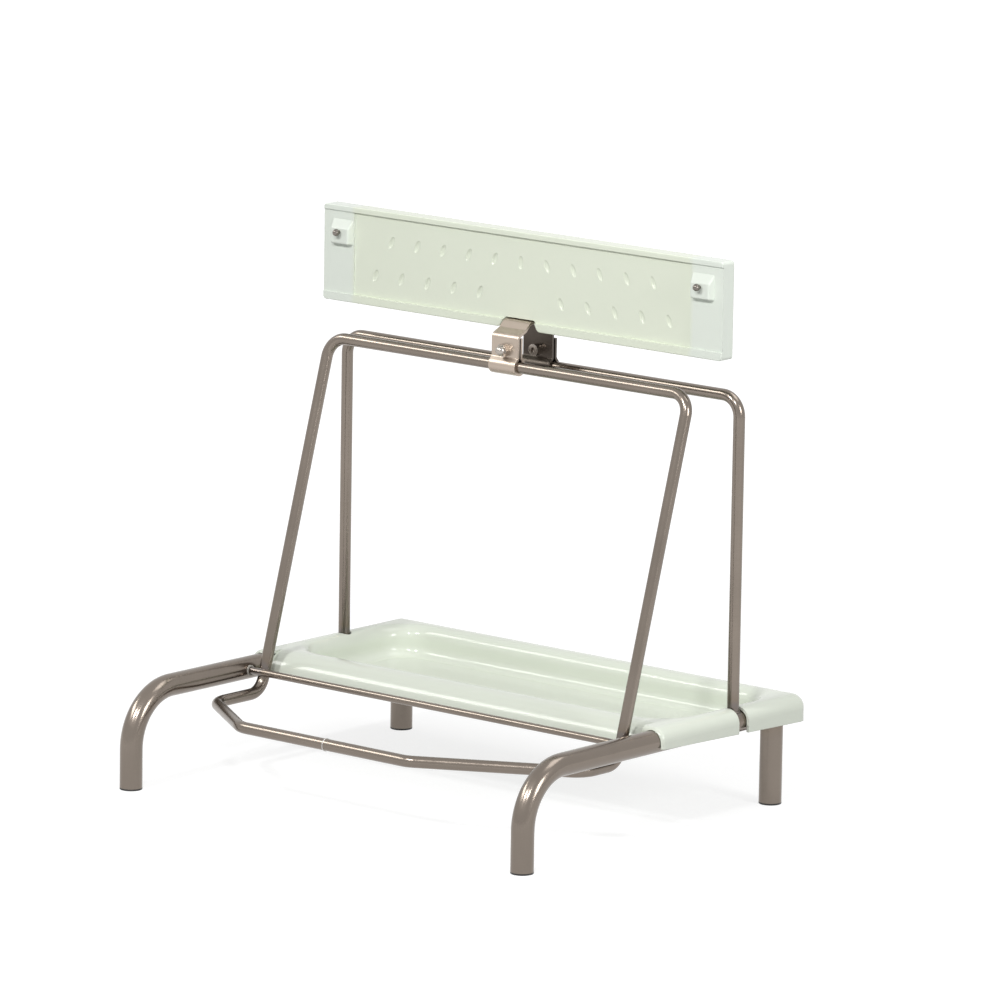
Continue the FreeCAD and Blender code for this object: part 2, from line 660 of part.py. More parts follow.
def stop_buffer():
    """Rubber buffer on the rear clip that the swinging strap rests against."""
    plate = FRONT + " + upright_setback - leaf_gap/2 - strap_thick"
    strap_back = PAD_BACK + " + strap_fit + strap_thick + seat_gap"
    z = PANEL_BOTTOM + " + buffer_rise"
    rubber = rod("buffer_rubber", "Y", "0", strap_back, z, "buffer_dia/2", "(%s) - (%s)" % (plate, strap_back))
    front = pad_back + s.strap_fit + s.strap_thick + s.seat_gap
    soft = fillet("buffer_soft", rubber, 1.5, lambda e: e.BoundBox.YLength < 0.01
                  and abs(e.CenterOfMass.y - front) < 0.1)
    bore = rod("buffer_bore", "Y", "0", "(%s) - buffer_stud_bite" % plate, z, "buffer_stud_dia/2",
               "buffer_stud_bite")
    node("stop_buffer", cut("buffer_cut", soft, bore))
    stud = rod("buffer_stud_bar", "Y", "0", "(%s) - buffer_stud_bite" % plate, z, "buffer_stud_dia/2",
               "buffer_stud_bite + strap_thick + buffer_nut_height + 1")
    nut = hexagon("buffer_nut_hex", "Y", "0", "(%s) + strap_thick" % plate, z, "buffer_nut_across",
                  "buffer_nut_height")
    node("buffer_stud", fuse("buffer_stud_solid", stud, nut))


# ---- backboard, drawn face up: x along it, y up it, z out of its face

def plane(body, role):
    return [item for item in body.Origin.OriginFeatures if item.Role == role][0]


def sketch(body, name, role, **offset):
    drawing = body.newObject("Sketcher::SketchObject", name)
    drawing.AttachmentSupport = [(plane(body, role), "")]
    drawing.MapMode = "FlatFace"
    for axis, text in offset.items():
        drawing.setExpression("AttachmentOffset.Base." + axis, expression(text))
    return drawing


def outline(drawing, corners):
    """A closed outline whose corner positions are bound to sizes."""
    number = len(corners)
    for i in range(number):
        drawing.addGeometry(Part.LineSegment(Vector(i, i*i, 0), Vector(i + 1, (i + 1)**2, 0)), False)
    for i in range(number):
        drawing.addConstraint(Sketcher.Constraint("Coincident", i, 2, (i + 1) % number, 1))
    for i, (across, up) in enumerate(corners):
        for kind, text in (("DistanceX", across), ("DistanceY", up)):
            at_row = drawing.addConstraint(Sketcher.Constraint(kind, -1, 1, i, 1, float(i + 1)))
            drawing.setExpression("Constraints[%d]" % at_row, expression(text))
    return drawing


def rectangle(drawing, left, low, right, high):
    return outline(drawing, [(left, low), (right, low), (right, high), (left, high)])


def pocket(body, name, drawing, depth, upward=False):
    thing = body.newObject("PartDesign::Pocket", name)
    thing.Profile = drawing
    thing.Reversed = upward
    bind(thing, Length=depth)
    return thing


def soften(body, name, radius, chosen):
    doc.recompute()
    base = body.Tip
    thing = body.newObject("PartDesign::Fillet", name)
    names = ["Edge%d" % i for i, edge in enumerate(base.Shape.Edges, start=1) if chosen(edge)]
    thing.Base = (base, names)
    return bind(thing, Radius=radius)


def dimple_row(body, name, side, height, start, pitch, count):
    """A row of slanted grain-shaped dimples that runs outwards from start to one side."""
    dent = body.newObject("PartDesign::SubtractiveEllipsoid", name + "_first")
    dent.AttachmentSupport = [(plane(body, "XY_Plane"), "")]
    dent.MapMode = "FlatFace"
    turn = side*s.dimple_lean if count > 1 else 0
    dent.AttachmentOffset = Placement(Vector(), Rotation(Vector(0, 0, 1), turn))
    bind(dent, Radius1="dimple_depth + dimple_lift", Radius2="dimple_width/2", Radius3="dimple_length/2",
         AttachmentOffset__Base__x="%d*(%s)" % (side, start), AttachmentOffset__Base__y=height,
         AttachmentOffset__Base__z="panel_depth - lip_proud - field_recess + dimple_lift")
    if count == 1:
        return
    row = body.newObject("PartDesign::LinearPattern", name)
    row.Originals = [dent]
    row.Direction = (plane(body, "X_Axis"), [""])
    row.Reversed = side < 0
    row.Occurrences = count
    bind(row, Length="%s*%d" % (pitch, count - 1))
    body.Tip = row


def boss(body, name, side):
    """A wedge under a stud: a long slope on top, a short step below."""
    sections = []
    for level_name, out, shrink in (("foot", "panel_depth - lip_proud - 1", "0"),
                                    ("face", "panel_depth - lip_proud + boss_proud", "1")):
        drawing = sketch(body, name + "_" + level_name, "XY_Plane", z=out)
        half = "(boss_width/2 - %s*boss_side_slope)" % shrink
        middle = "%d*%s" % (side, BOSS_X)
        rectangle(drawing, middle + " - " + half, "boss_low + %s*boss_low_slope" % shrink,
                  middle + " + " + half, "boss_high - %s*boss_high_slope" % shrink)
        sections.append(drawing)
    wedge = body.newObject("PartDesign::AdditiveLoft", name)
    wedge.Profile = sections[0]
    wedge.Sections = [sections[1]]
    wedge.Ruled = True
    band = s.panel_depth - s.lip_proud
    soften(body, name + "_round", "boss_round", lambda e: e.BoundBox.ZMax > band + 2
           and side*e.CenterOfMass.x > s.panel_half - s.boss_inset - s.boss_width/2)


def backboard():
    body = doc.addObject("PartDesign::Body", "backboard_body")
    body.Placement = Placement(Vector(), Rotation(Vector(1, 0, 0), 90))
    bind(body, Placement__Base__y=PANEL_BACK, Placement__Base__z=PANEL_BOTTOM)

    # the bottom edge has a flared notch that lets the strap through
    slab = body.newObject("PartDesign::Pad", "slab")
    slab.Profile = outline(sketch(body, "slab_outline", "XY_Plane"),
                           [("-panel_half", "0"), ("-notch_half", "0"), ("-notch_top_half", "notch_height"),
                            ("notch_top_half", "notch_height"), ("notch_half", "0"), ("panel_half", "0"),
                            ("panel_half", "panel_height"), ("-panel_half", "panel_height")])
    bind(slab, Length="panel_depth")
    for name, radius, x, y in (("outer_corners", "panel_corner", s.panel_half, None),
                               ("notch_corners", "notch_corner", s.notch_top_half, s.notch_height),
                               ("notch_flares", "notch_flare", s.notch_half, 0)):
        soften(body, name, radius, lambda e: e.BoundBox.XLength < 0.01 and e.BoundBox.YLength < 0.01
               and e.Length > 5 and abs(abs(e.CenterOfMass.x) - x) < 0.1
               and (y is None or abs(e.CenterOfMass.y - y) < 0.1))
    front = s.panel_depth
    soften(body, "face_edges", "lip_proud*0.8", lambda e: level(e, front))

    # hollow from behind, with a cheek on either side of the strap
    low = "panel_skin"
    cheek = "(notch_top_half + panel_skin)"
    tip = "notch_height + cheek_rise"
    half = []
    for side in ("-", ""):
        half.append([(side + "(panel_half - panel_skin)", low), (side + "(notch_half + panel_skin)", low),
                     (side + cheek, "notch_height"), (side + cheek, tip), (side + "notch_top_half", tip),
                     (side + "notch_top_half", "notch_height - notch_corner")])
    corners = half[0] + half[1][::-1]
    corners += [("panel_half - panel_skin", "panel_height - panel_skin"),
                ("-(panel_half - panel_skin)", "panel_height - panel_skin")]
    drawing = outline(sketch(body, "hollow_outline", "XY_Plane"), corners)
    pocket(body, "hollow", drawing, "panel_depth - lip_proud - field_recess - panel_skin", True)

    drawing = rectangle(sketch(body, "band_outline", "XY_Plane", z="panel_depth"), "-panel_half - 1",
                        "lip_bottom", "panel_half + 1", "panel_height - lip_top")
    pocket(body, "band", drawing, "lip_proud")
    drawing = rectangle(sketch(body, "field_outline", "XY_Plane", z="panel_depth - lip_proud"),
                        "end_zone - panel_half", "lip_bottom", "panel_half - end_zone", "panel_height - lip_top")
    pocket(body, "field", drawing, "field_recess")

    # a thick pad behind the middle takes the strap's screws
    pad = body.newObject("PartDesign::Pad", "screw_pad")
    pad.Profile = rectangle(sketch(body, "pad_outline", "XY_Plane",
                                   z="panel_depth - lip_proud - field_recess - panel_skin - pad_thick"),
                            "-notch_top_half - panel_skin/2", "notch_height + lip_proud",
                            "notch_top_half + panel_skin/2", "notch_height + pad_height")
    bind(pad, Length="pad_thick + panel_skin/2")

    boss(body, "left_boss", -1)
    boss(body, "right_boss", 1)

    dimple_row(body, "upper_left_dimples", -1, "upper_dimple_height", "upper_dimple_pitch", "upper_dimple_pitch", 5)
    dimple_row(body, "upper_right_dimples", 1, "upper_dimple_height", "upper_dimple_pitch", "upper_dimple_pitch", 5)
    dimple_row(body, "middle_dimple", 1, "upper_dimple_height", "0", "upper_dimple_pitch", 1)
    dimple_row(body, "lower_left_dimples", -1, "lower_dimple_height", "lower_dimple_start",
               "lower_dimple_pitch", 5)
    dimple_row(body, "lower_right_dimples", 1, "lower_dimple_height", "lower_dimple_start",
               "lower_dimple_pitch", 5)

    # screw pilot holes in the pad and stud holes through the bosses
    holes = []
    for rise in ("low_screw_rise", "high_screw_rise"):
        holes.append(rod("pilot_" + rise, "Y", "0", PAD_BACK + " - screw_bite", PANEL_BOTTOM + " + " + rise,
                         "screw_dia/2 + plug_fit", "screw_bite + 1"))
    for side in (-1, 1):
        holes.append(rod("stud_hole_%s" % ("left" if side < 0 else "right"), "Y", "%d*%s" % (side, BOSS_X),
                         PANEL_BACK + " - panel_depth - boss_proud - 5", PANEL_BOTTOM + " + stud_rise",
                         "stud_neck_dia/2 + plug_fit", "panel_depth + boss_proud"))
    node("backboard", cut("backboard_cut", body, *holes))


def studs():
    """Ball studs on the bosses, each held by a nut inside the backboard."""
    face = PANEL_BACK + " - panel_depth + lip_proud - boss_proud"
    skin_back = PANEL_BACK + " - panel_depth + lip_proud + field_recess + panel_skin"
    z = PANEL_BOTTOM + " + stud_rise"
    pieces = []
    nuts = []
    for side in ("left", "right"):
        x = BOSS_X if side == "right" else "-" + BOSS_X
        ball = doc.addObject("Part::Sphere", side + "_ball")
        bind(ball, Radius="stud_ball_dia/2", Placement__Base__x=x, Placement__Base__z=z,
             Placement__Base__y="%s - stud_stand_off" % face)
        neck = rod(side + "_neck", "Y", x, "%s - stud_stand_off" % face, z, "stud_neck_dia/2",
                   "(%s) - (%s) + stud_stand_off + stud_nut_height + 1" % (skin_back, face))
        pieces.append(fuse(side + "_stud", ball, neck))
        hexa = hexagon(side + "_stud_hex", "Y", x, skin_back, z, "stud_nut_across", "stud_nut_height")
        bore = rod(side + "_stud_bore", "Y", x, skin_back, z, "stud_neck_dia/2", "stud_nut_height")
        nuts.append(cut(side + "_stud_nut", hexa, bore))
    node("ball_studs", group("stud_pair", *pieces))
    node("stud_nuts", group("nut_pair", *nuts))


def strap_screws():
    """Two pan-head screws that hold the strap to the pad behind the backboard."""
    pieces = []
    for rise in ("low_screw_rise", "high_screw_rise"):
        z = PANEL_BOTTOM + " + " + rise
        shank = rod("shank_" + rise, "Y", "0", PAD_BACK + " - screw_bite", z, "screw_dia/2",
                    "screw_bite + strap_fit + strap_thick + 0.5")
        head = rod("head_" + rise, "Y", "0", PAD_BACK + " + strap_fit + strap_thick", z, "screw_head_dia/2",
                   "screw_head_height")
        pieces.append(fuse("screw_" + rise, shank, fillet("pan_" + rise, head, 0.9,
                           lambda e: e.CenterOfMass.y > pad_back + s.strap_thick + s.screw_head_height - 0.2
                           and e.BoundBox.YLength < 0.01)))
    node("strap_screws", group("screw_pair", *pieces))


left_skin = side_tube("left", -1)
right_skin = side_tube("right", 1)
cross_skin = cross_tube()
rear_leg("left", -1, cross_skin)
rear_leg("right", 1, cross_skin)
foot_plug("front_left_plug", "-half_span", FRONT)
foot_plug("front_right_plug", "half_span", FRONT)
foot_plug("rear_left_plug", "-" + LEG_X, LEG_Y)
foot_plug("rear_right_plug", LEG_X, LEG_Y)
upright("left", -1, left_skin)
upright("right", 1, right_skin)
rear_bar()
rod_high = front_bar()
swing_rod("left", -1, rod_high)
swing_rod("right", 1, rod_high)
pedal_bar()
axle_and_bushes(left_skin, right_skin)
tray()
clip_strap()
clip_bolt()
rear_clip()
stop_buffer()
backboard()
studs()
strap_screws()

doc.recompute()
for thing in doc.Objects:
    if "Invalid" in thing.State or "Error" in thing.State:
        raise RuntimeError("%s did not build: %s" % (thing.Label, thing.State))
for thing in nodes:
    if thing.Shape.isNull() or not thing.Shape.isValid() or not thing.Shape.Solids:
        raise RuntimeError("%s has no valid solid" % thing.Label)
for thing in nodes:
    thing.Shape.exportStep("parts/%s.step" % thing.Label)
    print("%-20s solids %d  volume %.0f" % (thing.Label, len(thing.Shape.Solids), thing.Shape.Volume))
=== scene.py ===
"""Looks, light and camera for the foot-operated bag stand. Metres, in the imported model's frame."""
import math

import bmesh
import bpy
from mathutils import Matrix, Vector


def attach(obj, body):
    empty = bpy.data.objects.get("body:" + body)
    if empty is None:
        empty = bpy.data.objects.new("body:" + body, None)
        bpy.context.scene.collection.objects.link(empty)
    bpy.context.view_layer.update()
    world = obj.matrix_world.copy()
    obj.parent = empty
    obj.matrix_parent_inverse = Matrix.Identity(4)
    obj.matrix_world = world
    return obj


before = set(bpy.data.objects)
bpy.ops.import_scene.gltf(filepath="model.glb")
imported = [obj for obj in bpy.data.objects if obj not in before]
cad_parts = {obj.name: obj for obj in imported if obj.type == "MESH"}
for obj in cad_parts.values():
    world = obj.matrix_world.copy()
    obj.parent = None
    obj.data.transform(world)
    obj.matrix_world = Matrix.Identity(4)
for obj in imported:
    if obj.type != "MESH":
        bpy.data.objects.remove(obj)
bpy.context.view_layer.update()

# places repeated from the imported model
TUBE = 0.0125
ROD = 0.0065
SPAN = 0.279
RAIL_Z = 0.1065
FRONT_Y = -0.22515
REAR_Y = FRONT_Y + 0.447
UPRIGHT_Y = FRONT_Y + 0.349
AXLE_Y = FRONT_Y + 0.179
REAR_BEND = 0.045
SWING_X = 0.255
LEAN = math.radians(16)
PEDAL_Z = 0.083
PEDAL_Y = FRONT_Y + 0.037
SEAM_X = -0.029
FIELD = 0.239

# weld beads
BEAD_SIDES = 8
RIPPLE = 0.0016
RIPPLE_DEPTH = 0.16
UPRIGHT_BEAD = 0.0011
LEG_BEAD = 0.0013
HINGE_BEAD = 0.0013
SEAM_BEAD = 0.0008
UPRIGHT_RING = ROD + 0.0002
UPRIGHT_LIFT = 0.0003
LEG_DROP = 0.0006
HINGE_REACH = 0.0052
HINGE_BACK = 0.0042
HINGE_ALONG = 0.0030
HINGE_BOW = 0.0013
HINGE_STEPS = 12
SEAM_RING = ROD*0.985

# camera, fitted to the photo
AZIMUTH = math.radians(40.159)
ELEVATION = math.radians(11.025)
ROLL = math.radians(0.905)
LENS = 288.3
SENSOR = 36
CAMERA_PLACE = (5.5123, -6.4721, 1.9852)

# light
NOISE_ROUGHNESS = 0.55
MIDDLE = (0, 0, 0.3)
WORLD_LIGHT = 0.34
FLOOR_SIZE = 60
LAMPS = [
    ("front", (-0.08, -2.4, 2.3), (0.24, 0.24), 35),
    ("camera_side", (1.15, -2.1, 2.2), (0.24, 0.24), 21),
    ("right", (2.5, -0.1, 1.3), (0.6, 0.9), 22),
    ("overhead", (0.7, 0.8, 2.3), (1.4, 1.0), 10),
]


# ---- node helpers

class Nodes:
    """The node tree of a material or world, with short calls to add and link nodes."""

    def __init__(self, owner):
        owner.use_nodes = True
        self.owner = owner
        self.tree = owner.node_tree

    def add(self, kind, inputs=None, **settings):
        node = self.tree.nodes.new(kind)
        for key, value in settings.items():
            setattr(node, key, value)
        for key, value in (inputs or {}).items():
            if isinstance(value, bpy.types.NodeSocket):
                self.tree.links.new(value, node.inputs[key])
            else:
                node.inputs[key].default_value = value
        return node

    def place(self, stretch=(1, 1, 1), turn=(0, 0, 0)):
        coordinates = self.add("ShaderNodeTexCoord")
        mapping = self.add("ShaderNodeMapping", {"Vector": coordinates.outputs["Object"], "Scale": stretch,
                                                 "Rotation": turn})
        return mapping.outputs[0]

    def noise(self, where, scale, detail):
        noise = self.add("ShaderNodeTexNoise", {"Vector": where, "Scale": scale, "Detail": detail,
                                                "Roughness": NOISE_ROUGHNESS})
        return noise.outputs["Fac"]

    def spread(self, value, low, high, start=0.3, end=0.7):
        ranged = self.add("ShaderNodeMapRange", {"Value": value, "From Min": start, "From Max": end,
                                                 "To Min": low, "To Max": high})
        return ranged.outputs[0]

    def math(self, operation, a, b=0.0):
        return self.add("ShaderNodeMath", {0: a, 1: b}, operation=operation).outputs[0]

    def blend(self, factor, a, b):
        # the colour sockets of a Mix node are 6, 7 and output 2
        mix = self.add("ShaderNodeMix", data_type="RGBA")
        for socket, value in zip((mix.inputs[0], mix.inputs[6], mix.inputs[7]), (factor, a, b)):
            if isinstance(value, bpy.types.NodeSocket):
                self.tree.links.new(value, socket)
            else:
                socket.default_value = value
        return mix.outputs[2]

    def ramp(self, factor, stops):
        ramp = self.add("ShaderNodeValToRGB", {"Fac": factor})
        while len(ramp.color_ramp.elements) < len(stops):
            ramp.color_ramp.elements.new(0.5)
        for element, (position, color) in zip(ramp.color_ramp.elements, stops):
            element.position = position
            element.color = color
        return ramp.outputs["Color"]

    def bump(self, height, strength, distance, edge=0.0):
        inputs = {"Height": height, "Strength": strength, "Distance": distance}
        if edge:
            inputs["Normal"] = self.add("ShaderNodeBevel", {"Radius": edge}, samples=4).outputs[0]
        return self.add("ShaderNodeBump", inputs).outputs[0]

    def finish(self, links, **values):
        """Set and link the Principled shader's sockets, and give back the material."""
        shader = self.tree.nodes["Principled BSDF"]
        for key, value in values.items():
            shader.inputs[key.replace("_", " ")].default_value = value
        for key, socket in links.items():
            self.tree.links.new(socket, shader.inputs[key])
        return self.owner

    def surface(self, shader):
        """Link another shader to the output, and give back the material."""
        self.tree.links.new(shader.outputs[0], self.tree.nodes["Material Output"].inputs["Surface"])
        return self.owner


def material_nodes(name):
    return Nodes(bpy.data.materials.new(name))


def tone(r, g, b):
    return (r, g, b, 1.0)


# ---- materials

HEAT_TINTS = [(0.0, tone(0.13, 0.11, 0.10)), (0.2, tone(0.13, 0.12, 0.125)), (0.4, tone(0.17, 0.13, 0.09))]
DUST = tone(0.45, 0.44, 0.38)


def steel(name, light, dark, rough, stretch, grain, welds=(), edge=0.0):
    """Ground stainless steel: fine grinding lines, uneven polish and a faint straw tint near the welds."""
    n = material_nodes(name)
    lines = n.noise(n.place(stretch), grain, 2.0)
    cloud = n.noise(n.place(), 9, 3.0)
    smear = n.noise(n.place((1, 1, 1), (0.4, 0.2, 0.1)), 45, 3.0)
    color = n.blend(n.spread(cloud, 0, 0.6, 0.35, 0.65), light, dark)
    color = n.blend(n.spread(lines, 0, 0.12), color, dark)
    if welds:
        where = n.place()
        near = None
        for point in welds:
            apart = n.add("ShaderNodeVectorMath", {0: where, 1: point}, operation="DISTANCE")
            distance = apart.outputs["Value"]
            near = distance if near is None else n.math("MINIMUM", near, distance)
        near = n.math("ADD", near, n.spread(smear, -0.003, 0.003))
        heat = n.ramp(n.spread(near, 0, 1, 0.004, 0.030), HEAT_TINTS + [(1.0, dark)])
        color = n.blend(n.spread(near, 0.55, 0.0, 0.006, 0.026), color, heat)
    roughness = n.math("ADD", n.spread(lines, rough - 0.03, rough + 0.03), n.spread(smear, -0.02, 0.03))
    normal = n.bump(lines, 0.05, 0.0001, edge)
    return n.finish({"Base Color": color, "Roughness": roughness, "Normal": normal}, Metallic=1.0)


def moulded(name, light, dark, rough, edge, wear, end=None):
    """Glossy moulded plastic: a soft change of tone, fine scuffs and a few dust specks.

    With end, that tone shows outside the sunk field, as a painted bluish reflection on the end zones.
    """
    n = material_nodes(name)
    cloud = n.noise(n.place((1, 1, 1), (0.7, 0.3, 0.2)), 3.5, 1.0)
    mottle = n.noise(n.place(), 240, 2.0)
    scuff = n.noise(n.place((1, 0.08, 1), (0.0, 0.0, 0.6)), 420, 4.0)
    speck = n.noise(n.place(), 1500, 1.0)
    color = n.blend(n.spread(cloud, 0, 1, 0.25, 0.75), light, dark)
    color = n.blend(n.spread(mottle, 0, 0.10), color, dark)
    # the end zones take the end tone: a painted bluish reflection
    if end:
        split = n.add("ShaderNodeSeparateXYZ", {0: n.place()})
        across = n.math("ADD", n.math("ABSOLUTE", split.outputs[0]), n.spread(mottle, -0.001, 0.001))
        painted_reflection_mask = n.spread(across, 0, 1, FIELD - 0.003, FIELD + 0.004)
        color = n.blend(painted_reflection_mask, color, end)
    color = n.blend(n.spread(speck, 0, 0.06, 0.66, 0.8), color, DUST)
    marks = n.spread(scuff, 0, 0.08, 0.62, 0.78)
    roughness = n.math("ADD", n.spread(mottle, rough - 0.015, rough + 0.02), n.math("MULTIPLY", marks, wear))
    height = n.math("ADD", n.math("MULTIPLY", mottle, 0.25), n.math("MULTIPLY", speck, 0.04))
    normal = n.bump(height, 0.022, 0.0003, edge)
    return n.finish({"Base Color": color, "Roughness": roughness, "Normal": normal}, IOR=1.42,
                    Coat_Weight=0.05, Coat_Roughness=0.12)


def soft_plastic(name, light, dark, rough, grain):
    """Nylon or rubber with a fine grain and pale scuffs."""
    n = material_nodes(name)
    grainy = n.noise(n.place(), grain, 4.0)
    scuff = n.noise(n.place((1, 1, 0.2)), 130, 4.0)
    color = n.blend(n.spread(scuff, 0, 1, 0.5, 0.75), dark, light)
    roughness = n.spread(grainy, rough - 0.08, rough + 0.10)
    normal = n.bump(grainy, 0.25, 0.0002, 0.0004)
    return n.finish({"Base Color": color, "Roughness": roughness, "Normal": normal})


# where heat has tinted the steel
leg_in = REAR_BEND*(1 - math.cos(math.radians(45)))
uprights = [(side*SPAN, UPRIGHT_Y, RAIL_Z + TUBE) for side in (-1, 1)]
leg_tops = [(side*(SPAN - leg_in), REAR_Y - leg_in, RAIL_Z - TUBE) for side in (-1, 1)]
hinges = [(side*SWING_X, AXLE_Y + 0.004, RAIL_Z) for side in (-1, 1)]

# a light and a dark tone for each finish, and the direction of its grinding lines
TUBE_TONES = (tone(0.235, 0.20, 0.17), tone(0.19, 0.162, 0.138))
STRAP_TONES = (tone(0.46, 0.39, 0.327), tone(0.39, 0.325, 0.27))
FASTENER_TONES = (tone(0.42, 0.385, 0.35), tone(0.33, 0.30, 0.275))
WELD_TONES = (tone(0.22, 0.19, 0.17), tone(0.15, 0.13, 0.115))
SEAM_TONES = (tone(0.50, 0.48, 0.46), tone(0.42, 0.40, 0.38))
# the rear clip is the same steel as the strap, darkened: painted shade where it sits under the strap and
# board
REAR_CLIP_PAINTED_SHADE_TONES = (tone(0.10, 0.085, 0.072), tone(0.07, 0.058, 0.05))
# the ball studs are darker than the other fasteners: a painted dark reflection in the chrome
STUD_PAINTED_REFLECTION_TONES = (tone(0.22, 0.20, 0.18), tone(0.17, 0.155, 0.14))
TRAY_TONES = (tone(0.74, 0.785, 0.69), tone(0.72, 0.765, 0.665))
BOARD_TONES = (tone(0.815, 0.865, 0.725), tone(0.795, 0.845, 0.705))
# the board's end zones get a bluer tone: a painted bluish reflection
BOARD_END_PAINTED_REFLECTION = tone(0.805, 0.86, 0.78)
LINES_X = (1, 0.05, 0.05)
LINES_Y = (0.05, 1, 0.05)
LINES_Z = (0.05, 0.05, 1)
LINES_SHEET = (1, 0.04, 0.04)
LINES_PEDAL = (1, 0.3, 0.3)
NO_LINES = (1, 1, 1)

along_x = steel("steel_bar_x", *TUBE_TONES, 0.20, LINES_X, 1400)
along_y = steel("steel_tube_y", *TUBE_TONES, 0.21, LINES_Y, 1300, uprights)
along_z = steel("steel_tube_z", *TUBE_TONES, 0.21, LINES_Z, 1300, leg_tops + uprights)
swing_steel = steel("steel_swing", *TUBE_TONES, 0.20, LINES_Z, 1400, hinges)
axle_steel = steel("steel_axle", *TUBE_TONES, 0.19, LINES_X, 1600, hinges)
pedal_steel = steel("steel_pedal", *TUBE_TONES, 0.21, LINES_PEDAL, 1300)
sheet_steel = steel("steel_strap", *STRAP_TONES, 0.33, LINES_SHEET, 1500, edge=0.0006)
bright_steel = steel("steel_fastener", *FASTENER_TONES, 0.18, NO_LINES, 700, edge=0.0003)
weld_steel = steel("steel_weld", *WELD_TONES, 0.30, NO_LINES, 500)
seam_steel = steel("steel_seam", *SEAM_TONES, 0.34, NO_LINES, 500)
tray_plastic = moulded("plastic_tray", *TRAY_TONES, 0.14, 0.0009, 0.5)
board_plastic = moulded("plastic_board", *BOARD_TONES, 0.22, 0.0008, 0.3, BOARD_END_PAINTED_REFLECTION)
# the rear clip's steel, darkened to a painted shade
painted_shade_steel = steel("steel_rear_clip_painted_shade", *REAR_CLIP_PAINTED_SHADE_TONES, 0.34, LINES_SHEET, 1500, edge=0.0006)
# the ball studs' steel, darkened to a painted dark reflection
painted_reflection_stud_steel = steel("steel_stud_painted_reflection", *STUD_PAINTED_REFLECTION_TONES, 0.12, NO_LINES, 700)
nylon = soft_plastic("nylon_black", tone(0.055, 0.05, 0.047), tone(0.016, 0.015, 0.015), 0.42, 600)
pale_nylon = soft_plastic("nylon_natural", tone(0.50, 0.49, 0.45), tone(0.40, 0.385, 0.35), 0.40, 600)
rubber = soft_plastic("rubber_black", tone(0.06, 0.06, 0.06), tone(0.02, 0.02, 0.02), 0.62, 900)

FINISHES = [
    (along_x, ("rear_cross_tube", "rear_bar", "front_bar")),
    (along_y, ("left_side_tube", "right_side_tube")),
    (along_z, ("rear_left_leg", "rear_right_leg", "left_upright", "right_upright")),
    (swing_steel, ("left_swing_rod", "right_swing_rod")),
    (axle_steel, ("pivot_axle",)),
    (pedal_steel, ("pedal_bar",)),
    (sheet_steel, ("clip_strap",)),
    (painted_shade_steel, ("rear_clip",)),
    (bright_steel, ("clip_bolt", "clip_nut", "rear_clip_screw", "rear_clip_nut", "buffer_stud",
                    "stud_nuts", "strap_screws")),
    (painted_reflection_stud_steel, ("ball_studs",)),
    (rubber, ("stop_buffer",)),
    (pale_nylon, ("left_axle_bush", "right_axle_bush")),
    (nylon, ("front_left_plug", "front_right_plug", "rear_left_plug", "rear_right_plug")),
    (tray_plastic, ("tray",)),
    (board_plastic, ("backboard",)),
]
for material, names in FINISHES:
    for name in names:
        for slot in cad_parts[name].material_slots:
            slot.material = material


# ---- weld beads

def bead(name, points, radius, body, closed, look=weld_steel):
    """A rippled weld bead laid along points."""
    mesh = bmesh.new()
    rings = []
    count = len(points)
    travelled = 0.0
    for i, point in enumerate(points):
        ahead = points[(i + 1) % count] if closed or i + 1 < count else point
        behind = points[i - 1] if closed or i else point
        way = (ahead - behind).normalized()
        across = way.orthogonal().normalized()
        other = way.cross(across)
        swell = 1 + RIPPLE_DEPTH*math.sin(travelled/RIPPLE*math.tau)
        if not closed:
            # the ends taper off
            swell *= math.sin(math.pi*(i + 0.35)/(count - 0.3))**0.5
        rings.append([mesh.verts.new(point + (across*math.cos(t) + other*math.sin(t))*radius*swell)
                      for t in circle(BEAD_SIDES)])
        travelled += (ahead - point).length
    pairs = list(zip(rings, rings[1:])) + ([(rings[-1], rings[0])] if closed else [])
    for first, second in pairs:
        twist = min(range(BEAD_SIDES), key=lambda k: (second[k].co - first[0].co).length)
        for k in range(BEAD_SIDES):
            mesh.faces.new((first[k], first[(k + 1) % BEAD_SIDES], second[(k + 1 + twist) % BEAD_SIDES],
                            second[(k + twist) % BEAD_SIDES]))
    if not closed:
        mesh.faces.new(rings[0])
        mesh.faces.new(list(reversed(rings[-1])))
    bmesh.ops.recalc_face_normals(mesh, faces=mesh.faces)
    data = bpy.data.meshes.new(name)
    mesh.to_mesh(data)
    mesh.free()
    data.materials.append(look)
    for face in data.polygons:
        face.use_smooth = True
    piece = bpy.data.objects.new(name, data)
    bpy.context.scene.collection.objects.link(piece)
    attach(piece, body)


def circle(count):
    return [k*math.tau/count for k in range(count)]


def upright_weld(side, x_side):
    """Round the upright, on the crown of the side tube."""
    points = []
    for t in circle(72):
        dx = UPRIGHT_RING*math.cos(t)
        points.append(Vector((x_side*SPAN + dx, UPRIGHT_Y + UPRIGHT_RING*math.sin(t),
                              RAIL_Z + math.sqrt(TUBE**2 - dx**2) + UPRIGHT_LIFT)))
    bead(side + "_upright_weld", points, UPRIGHT_BEAD, "stand", True)


def leg_weld(side, x_side, top):
    """Round the rear leg, under the corner bend."""
    leg = Vector(top)
    centre = Vector((x_side*(SPAN - REAR_BEND), REAR_Y - REAR_BEND, RAIL_Z))
    points = []
    for t in circle(96):
        at = Vector((leg.x + TUBE*math.cos(t), leg.y + TUBE*math.sin(t), 0))
        off = math.hypot(at.x - centre.x, at.y - centre.y) - REAR_BEND
        at.z = RAIL_Z - math.sqrt(max(TUBE**2 - off**2, 0)) - LEG_DROP
        points.append(at)
    bead("rear_%s_leg_weld" % side, points, LEG_BEAD, "stand", True)


